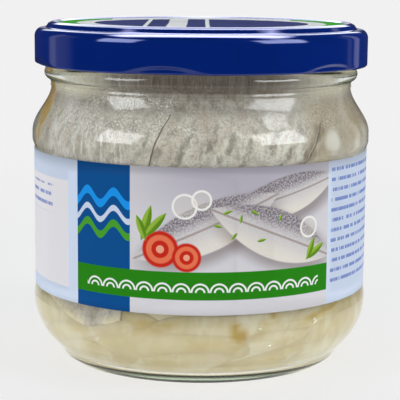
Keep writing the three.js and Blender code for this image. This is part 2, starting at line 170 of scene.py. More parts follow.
FILLETS = [
    dict(left=LOOSE_FRONT, right=SLIT, bottom=12.3, dip=0.45, top=75.6, inset=0.0, rolls=(3.0, 0.2)),
    dict(left=SLIT, right=CREVICE, bottom=19.0, dip=0.0, top=75.0, inset=0.0, rolls=(0.2, 0.5)),
    dict(left=CREVICE, right=RIGHT_LINE, bottom=17.0, dip=-0.3, top=75.4, inset=0.05, rolls=(0.5, 0.8)),
    dict(left=RIGHT_LINE, right=BACK_RIGHT, bottom=19.0, dip=0.2, top=74.8, inset=0.1, rolls=(0.8, 1.2)),
    dict(left=BACK_RIGHT, right=BACK, bottom=14.5, dip=0.3, top=75.6, inset=0.0, rolls=(1.2, 0.6)),
    dict(left=BACK, right=BACK_LEFT, bottom=18.0, dip=-0.4, top=74.9, inset=0.1, rolls=(0.6, 0.8)),
    dict(left=BACK_LEFT, right=LOOSE_BACK, bottom=17.0, dip=0.0, top=75.3, inset=0.1, rolls=(0.8, 2.4)),
]
# Places where the pale flesh shows: (azimuth, height, half width in degrees, half height).
BARE_PATCHES = [(50.6, 57.0, 5.0, 2.9), (86, 50.0, 39, 9.6), (142, 62, 9, 7), (199, 33, 8, 9)]

# Onion slices, in rings from low to high, and how far each strays from its place.
ONION_RINGS = [
    dict(height=6.8, long=17, wide=3.6, lean=3),
    dict(height=11.6, long=16, wide=3.9, lean=12),
    dict(height=16.0, long=17, wide=3.4, lean=-7),
]
SLICES_PER_RING, SLICE_SEED, FINE_SEED = 6, 11, 7
STRAY_AZIMUTH, STRAY_HEIGHT, STRAY_LENGTH, STRAY_WIDTH, STRAY_LEAN = 10, 1.0, 0.22, 0.2, 14
SLICE_THICK, SLICE_ROOT, SLICE_BOW, SLICE_TAPER, SLICE_RADIUS = 0.55, 1.6, 0.12, 2.6, 37.0
ONION_LOW, ONION_TOP, PUCK_INSET, BEHIND_DEPTH = 3.9, 18.0, 0.9, 1.4
# Ochre places on them: (azimuth, height, half length, half width, lean, strength).
OCHRE_PATCHES = [
    (13, 13.6, 2.9, 2.2, -35, 1.0), (17, 12.0, 3.6, 1.2, 20, 0.4), (-17, 14.6, 7.0, 1.5, 6, 0.5),
    (48, 16.4, 8.5, 0.9, 14, 0.75), (26, 17.2, 1.0, 0.8, 0, 0.9), (3, 9.0, 9.0, 3.5, 12, 0.22),
    (100, 13.0, 4.0, 1.6, 20, 0.7), (150, 10.0, 6.0, 2.4, -15, 0.5), (-110, 15, 5, 1.5, 8, 0.8),
    (-165, 12.0, 6.0, 2.0, 25, 0.5)]
# Air bubbles against the glass: (azimuth, height, radius).
BUBBLES = [(43, 14.6, 1.05), (44.5, 16.2, 0.3), (21, 14.4, 0.35), (25, 10.2, 0.28), (-8, 8.2, 0.22),
           (31, 61.5, 0.3), (-40, 64.5, 0.25), (120, 15.0, 0.7), (-130, 12.0, 0.5), (190, 63.0, 0.4)]


def arc(centre_radius, centre_z, radius, start, end, steps):
    """Points of a profile along a circle, angles in degrees from straight outwards."""
    points = []
    for step in range(steps + 1):
        angle = math.radians(start + (end - start) * step / steps)
        points.append((centre_radius + radius * math.cos(angle), centre_z + radius * math.sin(angle)))
    return points


def rounded(corners, steps=5):
    """A profile through (radius, height, round) corners, each corner rounded by its own radius."""
    points = [corners[0][:2]]
    for before, corner, after in zip(corners, corners[1:], corners[2:]):
        here = Vector(corner[:2])
        to_before = (Vector(before[:2]) - here).normalized()
        to_after = (Vector(after[:2]) - here).normalized()
        half = to_before.angle(to_after) / 2
        back = corner[2] / math.tan(half) if corner[2] else 0
        if back < 1e-4:
            points.append(tuple(here))
            continue
        start, end = here + to_before * back, here + to_after * back
        for step in range(steps + 1):
            share = step / steps
            bend = start * (1 - share) ** 2 + here * 2 * share * (1 - share) + end * share ** 2
            points.append(tuple(bend))
    points.append(corners[-1][:2])
    return points


def wave_radius(z, low_radius, low_z, high_radius, high_z):
    """Half a cosine wave between two radii, flat at both ends."""
    share = min(1.0, max(0.0, (z - low_z) / (high_z - low_z)))
    return low_radius + (high_radius - low_radius) * (1 - math.cos(math.pi * share)) / 2


def inside_radius(z):
    """Radius of the inside of the glass at a height."""
    drop = INSIDE_BASE + INSIDE_HEEL - z
    if drop > 0:
        return INSIDE_RADIUS - INSIDE_HEEL + math.sqrt(max(0.0, INSIDE_HEEL ** 2 - drop ** 2))
    return wave_radius(z, INSIDE_RADIUS, INSIDE_SHOULDER, BORE_RADIUS, INSIDE_NECK)


def smooth(low, high, value):
    """A soft step from 0 to 1."""
    share = min(1.0, max(0.0, (value - low) / (high - low)))
    return share * share * (3 - 2 * share)


def heights(low, high, steps):
    """Evenly spaced heights, with both ends."""
    return [low + (high - low) * step / steps for step in range(steps + 1)]


def drift(*place):
    """Smooth noise from about -1 to 1 at three coordinates."""
    return noise.noise(Vector(place))


def round_place(azimuth, z, wide, tall):
    """A place in the noise that comes back to itself after a whole turn."""
    turn = math.radians(azimuth)
    return Vector((wide * math.sin(turn), wide * math.cos(turn), z * tall))


def on_wall(azimuth, radius, z):
    """The point at an azimuth, a radius and a height."""
    turn = math.radians(azimuth)
    return Vector((radius * math.sin(turn), -radius * math.cos(turn), z))


def new_object(name, points, faces, material=None):
    """A smooth-shaded mesh object from points in millimetres."""
    mesh = bpy.data.meshes.new(name)
    mesh.from_pydata([Vector(point) * MM for point in points], [], faces)
    mesh.polygons.foreach_set("use_smooth", [True] * len(mesh.polygons))
    mesh.validate()
    mesh.update()
    obj = bpy.data.objects.new(name, mesh)
    bpy.context.scene.collection.objects.link(obj)
    if material:
        mesh.materials.append(material)
    return obj


def turned(name, profile, material, shape=None, segments=SEGMENTS):
    """Turns a profile, from axis to axis or closed on itself, into a round body.
    shape(radius, z, azimuth) gives a point's own radius and height."""
    points, rings, faces = [], [], []
    for radius, z in profile:
        if radius < 1e-6:
            rings.append([len(points)] * segments)
            points.append(Vector((0, 0, z)))
            continue
        rings.append(range(len(points), len(points) + segments))
        for segment in range(segments):
            azimuth = 360 * segment / segments
            own_radius, own_z = shape(radius, z, azimuth) if shape else (radius, z)
            points.append(on_wall(azimuth, own_radius, own_z))
    pairs = list(zip(rings, rings[1:]))
    if profile[0][0] > 1e-6:
        pairs.append((rings[-1], rings[0]))
    for low, high in pairs:
        for a in range(segments):
            b = (a + 1) % segments
            face = list(dict.fromkeys((low[a], low[b], high[b], high[a])))
            if len(face) > 2:
                faces.append(face)
    return new_object(name, points, faces, material)


def store_values(obj, **lists):
    """Stores a number for each point, for the material to read."""
    for name, values in lists.items():
        obj.data.attributes.new(name, "FLOAT", "POINT").data.foreach_set("value", values)


def filling(low, high, steps, inset):
    """The profile of a body that fills the glass up to a gap."""
    return [(0, low), *((inside_radius(z) - inset, z) for z in heights(low, high, steps)), (0, high)]


def shifted(faces, first):
    """Faces numbered from another first point."""
    return [tuple(first + corner for corner in face) for face in faces]


def ride_as(piece, slot, *nodes):
    """Every piece is part of the one body, and stands for its CAD nodes."""
    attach(piece, "root")
    if nodes:
        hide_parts(*nodes)
    return piece


def srgb(red, green, blue):
    """A colour given as 0 to 255 display values."""
    def linear(value):
        share = value / 255
        return share / 12.92 if share <= 0.04045 else ((share + 0.055) / 1.055) ** 2.4
    return (linear(red), linear(green), linear(blue))


class Nodes:
    """Short names for the nodes of one material, lamp or world."""

    def __init__(self, owner, output="OutputMaterial"):
        owner.use_nodes = True
        self.owner, self.tree = owner, owner.node_tree
        self.tree.nodes.clear()
        self.output = self.add(output)

    def add(self, kind, inputs=None, **settings):
        node = self.tree.nodes.new("ShaderNode" + kind)
        for key, value in settings.items():
            setattr(node, key, value)
        for key, value in (inputs or {}).items():
            self.feed(node.inputs[key], value)
        return node

    def feed(self, socket, value):
        if isinstance(value, bpy.types.NodeSocket):
            self.tree.links.new(value, socket)
        else:
            if socket.type == "RGBA" and len(value) == 3:
                value = (*value, 1.0)
            socket.default_value = value

    def place(self, kind="Object"):
        return self.add("TexCoord").outputs[kind]

    def sheet(self, name):
        return self.add("UVMap", uv_map=name).outputs[0]

    def attribute(self, name):
        return self.add("Attribute", attribute_name=name).outputs["Fac"]

    def split(self, vector):
        return self.add("SeparateXYZ", {0: vector}).outputs

    def length(self, vector):
        return self.add("VectorMath", {0: vector}, operation="LENGTH").outputs["Value"]

    def math(self, operation, *values):
        return self.add("Math", dict(enumerate(values)), operation=operation).outputs[0]

    def product(self, first, *factors):
        for factor in factors:
            first = self.math("MULTIPLY", first, factor)
        return first

    def away(self, value, middle):
        return self.math("ABSOLUTE", self.math("SUBTRACT", value, middle))

    def azimuth(self, x, y):
        return self.math("ARCTAN2", x, self.product(y, -1.0))

    def ramp(self, value, low, high, out_low=0.0, out_high=1.0):
        """A soft step from one value to another."""
        inputs = {"Value": value, "From Min": low, "From Max": high, "To Min": out_low,
                  "To Max": out_high}
        return self.add("MapRange", inputs, interpolation_type="SMOOTHSTEP").outputs[0]

    def fall(self, value, low, high):
        return self.ramp(value, low, high, 1.0, 0.0)

    def window(self, value, low, high, soft):
        """1 between two values, with soft ends."""
        rise = self.ramp(value, low - soft, low + soft)
        return self.product(rise, self.fall(value, high - soft, high + soft))

    def noise(self, vector, scale, detail=2.0, roughness=0.5, distortion=0.0, turn=0.0):
        """Noise of one scale, or of three after a turn in degrees about the third axis."""
        if isinstance(scale, tuple):
            inputs = {"Vector": vector, "Rotation": (0, 0, math.radians(turn)), "Scale": scale}
            vector, scale = self.add("Mapping", inputs).outputs[0], 1.0
        inputs = {"Vector": vector, "Scale": scale, "Detail": detail, "Roughness": roughness,
                  "Distortion": distortion}
        return self.add("TexNoise", inputs).outputs["Fac"]

    def mix(self, share, first, second):
        """Mixes two colours, each a socket or display values."""
        node = self.add("Mix", {0: share}, data_type="RGBA")
        for socket, colour in ((6, first), (7, second)):
            self.feed(node.inputs[socket], srgb(*colour) if isinstance(colour, tuple) else colour)
        return node.outputs[2]

    def coat(self, share, colour, strength=1.0):
        """Lays a colour over those laid before it."""
        share = self.product(share, strength) if strength < 1 else share
        self.colour = self.mix(share, self.colour, colour)

    def bump(self, height, distance, strength=1.0):
        inputs = {"Height": height, "Distance": distance, "Strength": strength}
        return self.add("Bump", inputs).outputs[0]

    def mirror_ray(self):
        """1 for what a glossy surface mirrors, 0 for what is seen through glass."""
        path = self.add("LightPath").outputs
        return self.math("GREATER_THAN", path["Is Glossy Ray"], path["Is Transmission Ray"])

    def mix_shader(self, share, first, second):
        return self.add("MixShader", {0: share, 1: first.outputs[0], 2: second.outputs[0]})

    def end(self, shader, socket="Surface"):
        self.tree.links.new(shader.outputs[0], self.output.inputs[socket])
        return self.owner

    def surface(self, **inputs):
        """Ends the material in a Principled shader. Underscores in names stand for spaces."""
        inputs = {key.replace("_", " "): value for key, value in inputs.items()}
        return self.end(self.add("BsdfPrincipled", {"Base Color": self.colour, **inputs}))


# Materials.

def new_material(name):
    return Nodes(bpy.data.materials.new(name))


def clear_material(name, colour, ior, absorb=None, density=0.0, clear=1.0):
    """A clear body that bends what is seen through it and lets lamps light what is inside it."""
    nodes = new_material(name)
    body = nodes.add("BsdfPrincipled", {
        "Base Color": colour, "Roughness": 0.0, "IOR": ior, "Transmission Weight": clear})
    lamps = nodes.add("BsdfTransparent", {"Color": colour})
    path = nodes.add("LightPath").outputs
    unbent = nodes.math("MAXIMUM", path["Is Shadow Ray"], path["Is Diffuse Ray"])
    if absorb:
        nodes.end(nodes.add("VolumeAbsorption", {"Color": absorb, "Density": density}), "Volume")
    return nodes.end(nodes.mix_shader(unbent, body, lamps))


def lacquer_material():
    """Gloss blue lacquer with a very slight orange peel."""
    nodes = new_material("blue_lacquer")
    place = nodes.place()
    nodes.colour = nodes.mix(nodes.noise(place, 60.0), (1, 29, 101), (2, 34, 111))
    peel = nodes.bump(nodes.noise(place, 900.0), 0.006 * MM, 0.2)
    return nodes.surface(IOR=1.5, Roughness=0.06, Specular_IOR_Level=0.8,
                         Specular_Tint=(0.55, 0.60, 1.0), Normal=peel)


def lid_print_material():
    """The printed top: two green arcs, white, and a slate disc crossed by white stripes."""
    nodes = new_material("lid_print")
    x, y, _ = nodes.split(nodes.place())
    radius = nodes.length(nodes.add("CombineXYZ", {0: x, 1: y}).outputs[0])
    soft = 0.12 * MM
    disc = nodes.fall(radius, DISC_RADIUS * MM - soft, DISC_RADIUS * MM + soft)
    for middle, half in DISC_STRIPES:
        beside = nodes.ramp(nodes.away(x, middle * MM), (half - 0.15) * MM, (half + 0.15) * MM)
        disc = nodes.product(disc, beside)
    nodes.colour = nodes.mix(disc, (244, 246, 247), (78, 84, 134))
    aside = nodes.ramp(nodes.math("ABSOLUTE", x), (ARC_ASIDE - 0.2) * MM, (ARC_ASIDE + 0.2) * MM)
    arcs = nodes.product(nodes.window(radius, ARC_INNER * MM, ARC_OUTER * MM, soft), aside)
    nodes.coat(arcs, (90, 184, 72))
    return nodes.surface(Roughness=0.5, Specular_IOR_Level=0.0)


def lid_inside_material():
    """The pale coating inside the lid."""
    nodes = new_material("lid_inside")
    cloud = nodes.noise(nodes.place(), 80.0, 3.0)
    nodes.colour = nodes.mix(cloud, (206, 190, 156), (216, 202, 170))
    return nodes.surface(Roughness=0.35, Specular_IOR_Level=0.3)


def skin_material():
    """Wet herring: silver-grey speckled skin outside, cream flesh at the cut edges."""
    nodes = new_material("herring_flesh_and_skin")
    product, ramp, fall, coat = nodes.product, nodes.ramp, nodes.fall, nodes.coat
    sheet, place = nodes.sheet("FilletMap"), nodes.place()
    skin, edge = nodes.attribute("skin"), nodes.attribute("edge")
    across, up, _ = nodes.split(sheet)
    azimuth = nodes.azimuth(*nodes.split(place)[:2])

    def facing(low, high, soft=5):
        return nodes.window(azimuth, math.radians(low), math.radians(high), math.radians(soft))

    cloud = nodes.noise(sheet, (0.10, 0.07, 1), 3.0, 0.55, 0.6, turn=12)
    mottle = nodes.noise(sheet, (0.55, 0.42, 1), 4.0, 0.62, 0.3, turn=-20)
    grain = nodes.noise(sheet, (2.2, 1.9, 1), 3.0, 0.72)
    dots = nodes.noise(sheet, (1.1, 1.0, 1), 4.0, 0.8)
    nodes.colour = nodes.mix(ramp(cloud, 0.38, 0.62), (214, 206, 191), (238, 234, 223))
    coat(ramp(mottle, 0.38, 0.54, 0.5, 0.0), (164, 153, 139))
    blush = nodes.noise(sheet, (0.26, 0.16, 1), 4.0, 0.6, 0.5, turn=25)
    coat(ramp(blush, 0.48, 0.66, 0.0, 0.5), (204, 184, 164))

    # Slanting rows of dark smudges, low on the flanks.
    lean = nodes.math("MULTIPLY_ADD", up, -0.7, across)
    bend = nodes.noise(sheet, (0.20, 0.16, 1), 2.0)
    phase = nodes.math("MULTIPLY_ADD", bend, 7.0, nodes.math("MULTIPLY", lean, 2 * math.pi / 5.2))
    blotch = nodes.noise(sheet, (0.40, 0.30, 1), 4.0, 0.7, turn=-35)
    rows = product(ramp(nodes.math("SINE", phase), -0.1, 1.0), ramp(blotch, 0.40, 0.58),
                   fall(up, 58.0, 63.0), ramp(facing(-20, 48), 0.0, 1.0, 0.45, 1.0))
    coat(rows, (138, 129, 116), 0.9)

    # A dusky speckled band high on the fillets, most towards the front, and painted shade and light in
    # the neck of the jar.
    band = product(ramp(up, 62.5, 66.0), ramp(facing(-52, 32, 8), 0.0, 1.0, 0.4, 1.0))
    smoke = ramp(mottle, 0.36, 0.58, 0.1, 0.85)
    coat(product(band, smoke), (134, 124, 111))
    coat(product(band, ramp(grain, 0.52, 0.60, 0.0, 0.8)), (92, 82, 70))
    # Painted light: the fish is paler at the sides of the neck, where light comes in through the glass.
    painted_side_light = product(ramp(up, 66.0, 69.0), nodes.math("SUBTRACT", 1.0, facing(-42, 46, 14)))
    coat(painted_side_light, (252, 246, 222), 0.85)
    # Painted shade: the fish is dark brown at the front of the neck, under the lid.
    neck = product(ramp(up, 67.0, 71.0), facing(-32, 38, 18), ramp(blotch, 0.3, 0.6, 0.75, 1.0))
    coat(neck, (78, 60, 38), 0.95)

    # The thin dusky end of a fillet, low in the jar.
    tongue = ramp(facing(DARK_TONGUE - 1, DARK_TONGUE + 1, 6), 0.0, 0.7, 0.35, 1.0)
    tail = product(ramp(up, 15.5, 20.0, 1.0, 0.5), fall(up, 22.0, 24.0), tongue,
                   ramp(mottle, 0.36, 0.56, 0.6, 1.0))
    coat(tail, (128, 114, 94), 0.75)

    # Warmer skin towards the right, as on the belly.
    warm = product(facing(40, 112), ramp(cloud, 0.3, 0.6, 0.5, 1.0), fall(up, 64.0, 69.0))
    coat(warm, (198, 180, 144), 0.8)

    # Upright pale streaks, fine dark grain, and painted glints of light on the scales.
    streak = nodes.noise(sheet, (1.0, 0.20, 1), 3.0, 0.65, turn=10)
    streaks = product(ramp(streak, 0.50, 0.60), nodes.window(up, 49.0, 61.0, 2.0), facing(-64, -26))
    coat(streaks, (248, 246, 240), 0.7)
    coat(ramp(grain, 0.36, 0.50, 0.45, 0.0), (136, 126, 112))
    coat(ramp(dots, 0.36, 0.44, 0.5, 0.0), (128, 116, 100))
    # Painted glints: white specks on the scales, on the left side and high up.
    patches = nodes.noise(sheet, (0.13, 0.20, 1), 2.0, turn=20)
    glint_side = ramp(facing(-62, -2), 0.0, 1.0, 0.45, 1.0)
    painted_glints = product(ramp(grain, 0.56, 0.60), ramp(patches, 0.38, 0.52), glint_side,
                      nodes.window(up, 59.0, 68.5, 2.0))
    coat(painted_glints, (254, 254, 254))
    # Painted shade: brown along the fillets' turned-in edges and beside the crevice, where shade falls
    # between them.
    coat(ramp(edge, 0.05, 0.8, 0.0, 0.8), (128, 106, 78))

    flesh_cloud = nodes.noise(place, 140.0, 4.0, 0.6, 0.5)
    flesh = nodes.mix(ramp(flesh_cloud, 0.35, 0.65), (246, 240, 226), (254, 252, 248))
    flesh = nodes.mix(fall(up, 22.0, 26.0), flesh, (226, 214, 180))
    nodes.colour = nodes.mix(skin, flesh, nodes.colour)
    return nodes.surface(Roughness=ramp(mottle, 0.3, 0.7, 0.5, 0.35), Specular_IOR_Level=0.25,
                         Normal=nodes.bump(mottle, 0.2 * MM, 0.4))


def inner_flesh_material():
    """The fish behind the front fillets, golden brown where it shows between them."""
    nodes = new_material("inner_flesh")
    place = nodes.place()
    fibre = nodes.noise(place, (260, 260, 90), 4.0, 0.6, 0.4)
    cloud = nodes.noise(place, 60.0, 3.0)
    nodes.colour = nodes.mix(nodes.ramp(cloud, 0.35, 0.65), (226, 190, 116), (238, 210, 150))
    nodes.coat(nodes.ramp(fibre, 0.35, 0.55, 0.4, 0.0), (186, 148, 88))
    return nodes.surface(Roughness=0.45, Specular_IOR_Level=0.25,
                         Normal=nodes.bump(fibre, 0.3 * MM, 0.4))


def onion_material():
    """Pickled onion: pale cream, cloudy, with ochre patches."""
    nodes = new_material("pickled_onion")
    coat, ramp = nodes.coat, nodes.ramp
    place = nodes.place()
    ochre, tone = nodes.attribute("ochre"), nodes.attribute("tone")
    cloud = nodes.noise(place, 70.0, 3.0, 0.5, 0.4)
    fine = nodes.noise(place, (240, 240, 120), 3.0, 0.6)
    patch = nodes.noise(place, 42.0, 2.0, 0.5, 0.8)
    blots = nodes.noise(place, 130.0, 4.0, 0.55, 0.9)
    ridges = nodes.noise(place, (330, 330, 30), 2.0, 0.5)
    nodes.colour = nodes.mix(ramp(cloud, 0.34, 0.66), (214, 198, 152), (234, 226, 198))
    coat(ramp(patch, 0.48, 0.68, 0.0, 0.55), (202, 180, 124))
    coat(ramp(blots, 0.50, 0.66, 0.0, 0.6), (242, 238, 220))
    coat(ramp(blots, 0.34, 0.48, 0.5, 0.0), (196, 176, 124))
    coat(ramp(ridges, 0.50, 0.70, 0.0, 0.35), (246, 242, 222))
    coat(ramp(fine, 0.5, 0.8, 0.0, 0.25), (244, 239, 214))
    coat(tone, (204, 184, 130), 0.75)
    coat(ochre, (188, 152, 40))
    return nodes.surface(Roughness=0.45, Specular_IOR_Level=0.2, Normal=nodes.bump(fine, 0.1 * MM, 0.3),
                         Subsurface_Weight=0.15, Subsurface_Radius=(1.5, 1.2, 0.7),
                         Subsurface_Scale=MM)


def floor_material():
    """A pale table that takes soft shadows near the jar and is evenly white further off. Only the
    part round the jar is mirrored by gloss."""
    nodes = new_material("pale_floor")
    place = nodes.place()
    away = nodes.length(place)
    grey = nodes.math("MULTIPLY_ADD", nodes.noise(place, 30.0, 3.0), FLOOR_VARIES, FLOOR_GREY)
    table = nodes.add("BsdfDiffuse", {"Color": grey})
    glow = nodes.add("Emission", {"Color": (1, 1, 1), "Strength": FLOOR_GLOW})
    near = nodes.add("AddShader", {0: table.outputs[0], 1: glow.outputs[0]})
    far = nodes.add("Emission", {"Color": (1, 1, 1), "Strength": BACKDROP})
    shown = nodes.mix_shader(nodes.ramp(away, *FLOOR_WHITENS), near, far)
    left_out = nodes.product(nodes.mirror_ray(), nodes.ramp(away, *FLOOR_MIRRORED))
    nothing = nodes.add("BsdfTransparent", {"Color": (1, 1, 1)})
    return nodes.end(nodes.mix_shader(left_out, shown, nothing))


# Glass.

def glass_profile():
    foot = rounded([
        (0, PUSH_UP, 0), (PUSH_UP_RADIUS, PUSH_UP_EDGE, 8), (FOOT_INNER, 0, 0.6),
        (FOOT_OUTER, 0, 0.5), (FOOT_OUTER + FOOT_ROUND, 0.9, 0.5), (*FOOT_END, 0)])
    heel = arc(BODY_RADIUS - HEEL_RADIUS, HEEL_TOP, HEEL_RADIUS, HEEL_FROM + 3, 0, 26)
    panel = rounded([
        (BODY_RADIUS, HEEL_TOP, 0), (BODY_RADIUS, HEEL_TOP + 0.3, 0.3),
        (PANEL_RADIUS, PANEL_BOTTOM, 1.0), (PANEL_RADIUS, PANEL_TOP, 2.0),
        (SHOULDER_RADIUS, PANEL_TOP + PANEL_STEP, 2.0), (SHOULDER_RADIUS, SHOULDER_Z, 0)])
    shoulder = []
    for z in heights(SHOULDER_Z, NECK_Z, 60)[1:]:
        seam = SEAM_HIGH * math.exp(-((z - SEAM_Z) / SEAM_HALF) ** 2)
        shoulder.append((wave_radius(z, SHOULDER_RADIUS, SHOULDER_Z, NECK_RADIUS, NECK_Z) + seam, z))
    bead_round = BEAD_HALF - 0.3
    bead = arc(BEAD_RADIUS - bead_round, BEAD_Z, bead_round, -75, 75, 14)
    finish = rounded([
        (*bead[-1], 0), (FINISH_RADIUS, FINISH_Z, 0.3), (FINISH_RADIUS, RIM_Z, RIM_ROUND),
        (BORE_RADIUS, RIM_Z, RIM_ROUND), (BORE_RADIUS, INSIDE_NECK + 0.5, 0)])
    inside = [(inside_radius(z), z) for z in heights(INSIDE_NECK, INSIDE_SHOULDER, 60)[1:]]
    inside += arc(INSIDE_RADIUS - INSIDE_HEEL, INSIDE_BASE + INSIDE_HEEL, INSIDE_HEEL, 0, -88, 20)
    inside += [(14, INSIDE_BASE + 0.7 * INSIDE_DOME), (0, INSIDE_BASE + INSIDE_DOME)]
    return foot[:-1] + heel + panel[1:] + shoulder + bead + finish[1:] + inside


def glass_wobble(radius, z, azimuth):
    """Blown glass is a little uneven, most of all on its inside."""
    outside = radius > inside_radius(max(z, INSIDE_BASE)) + 0.5 or z < INSIDE_BASE
    depth, apart, seam = (0.03, 0, 0.05) if outside else (0.16, 9, 0)
    place = round_place(azimuth, z, 2.1, 0.055) + Vector((0, 0, apart))
    seam *= math.exp(-(min(abs(azimuth - mould) for mould in MOULD_SEAMS) / 0.5) ** 2)
    return radius + depth * noise.noise(place) * smooth(1.0, 4.0, z) + seam, z


def make_jar():
    glass = clear_material("jar_glass", (1.0, 1.0, 1.0), 1.5, srgb(196, 222, 188), 16.0)
    return ride_as(turned("glass_jar", glass_profile(), glass, glass_wobble), "clear_glass", "jar")


def make_brine():
    """Fills the jar to the neck, and reaches just into the glass. Its steps are closer below."""
    profile = [(0, INSIDE_BASE + INSIDE_DOME - BRINE_OVERLAP)]
    start = INSIDE_BASE + 0.02
    steps = 90
    for step in range(steps + 1):
        z = start + (BRINE_TOP - start) * (step / steps) ** 1.15
        sunk = BRINE_OVERLAP * (1 - smooth(start, 12, z))
        profile.append((inside_radius(z) + BRINE_OVERLAP, z - sunk))
    profile.append((0, BRINE_TOP))
    brine = clear_material("brine", (1.0, 1.0, 1.0), 1.34, srgb(232, 214, 150), 50.0)
    return ride_as(turned("brine_fill", profile, brine), "brine")


# Lid.

def lug_press(azimuth):
    """From 0 between lugs to 1 at the middle of one."""
    pitch = 360 / LUGS
    offset = (azimuth - FIRST_LUG + pitch / 2) % pitch - pitch / 2
    return math.cos(math.pi / 2 * min(1.0, abs(offset) / LUG_HALF)) ** 2


def lid_shape(radius, z, azimuth):
    """The skirt is pressed in over each lug, under an arched border."""
    press = lug_press(azimuth)
    below = LID_BOTTOM + LUG_HEIGHT * math.sqrt(press) - z
    return radius - LUG_DEPTH * math.sqrt(press) * smooth(0, LUG_SLOPE, below), z


def make_lid():
    corner_radius = LID_RADIUS - LID_CORNER
    corner_z = LID_TOP - LID_CORNER_SINK
    panel_z = LID_TOP - PANEL_SINK
    inner_edge = RIDGE_RADIUS - 2 * RIDGE_HALF
    skirt = [(LID_RADIUS, LID_BOTTOM + CURL + 0.2 * step) for step in range(1, 32)]
    corner = arc(corner_radius, corner_z, LID_CORNER, 0, LID_CORNER_TO, 12)
    outer = skirt + corner[:-1] + rounded([
        (*corner[-1], 0), (RIDGE_RADIUS + 2 * RIDGE_HALF, LID_TOP - GROOVE_SINK, 0.5),
        (RIDGE_RADIUS + RIDGE_HALF, LID_TOP - RIDGE_OUTER_SINK, 0.4),
        (RIDGE_RADIUS - CREST_INWARDS, LID_TOP, 0.9),
        (RIDGE_RADIUS - RIDGE_HALF, LID_TOP - RIDGE_INNER_SINK, 0.4),
        (inner_edge, panel_z, 0.5), (BUTTON_RADIUS + 1.5, panel_z, 0.6),
        (BUTTON_RADIUS, panel_z - 0.2, 0.6), (0, panel_z - BUTTON_SINK, 0)], 6)
    sheet = LID_SHEET
    inner = rounded([
        (0, panel_z - BUTTON_SINK - sheet, 0), (inner_edge, panel_z - sheet, 0.3),
        (RIDGE_RADIUS - RIDGE_HALF / 2, LID_TOP - RIDGE_INNER_SINK - sheet, 0.3),
        (RIDGE_RADIUS + RIDGE_HALF, LID_TOP - GROOVE_SINK - sheet / 2, 0.2),
        (corner_radius + 0.3, corner_z + LID_CORNER - sheet, 0.3),
        (LID_RADIUS - sheet, corner_z, 0.5)])
    inner += [(LID_RADIUS - sheet, corner_z - 0.6 * step) for step in range(1, 10)]
    rolled = arc(LID_RADIUS - CURL, LID_BOTTOM + CURL, CURL, -180, -10, 12)
    lid = turned("twist_lid", inner + rolled + outer, lacquer_material(), lid_shape)
    lid.data.materials.append(lid_print_material())
    lid.data.materials.append(lid_inside_material())
    for polygon in lid.data.polygons:
        middle = polygon.center / MM
        if polygon.index < SEGMENTS * (len(inner) - 1):
            polygon.material_index = 2
        elif middle.z > panel_z - 0.35 and math.hypot(middle.x, middle.y) < inner_edge + 0.2:
            polygon.material_index = 1
    return ride_as(lid, "blue_lacquered_lid", "lid")


# Label.

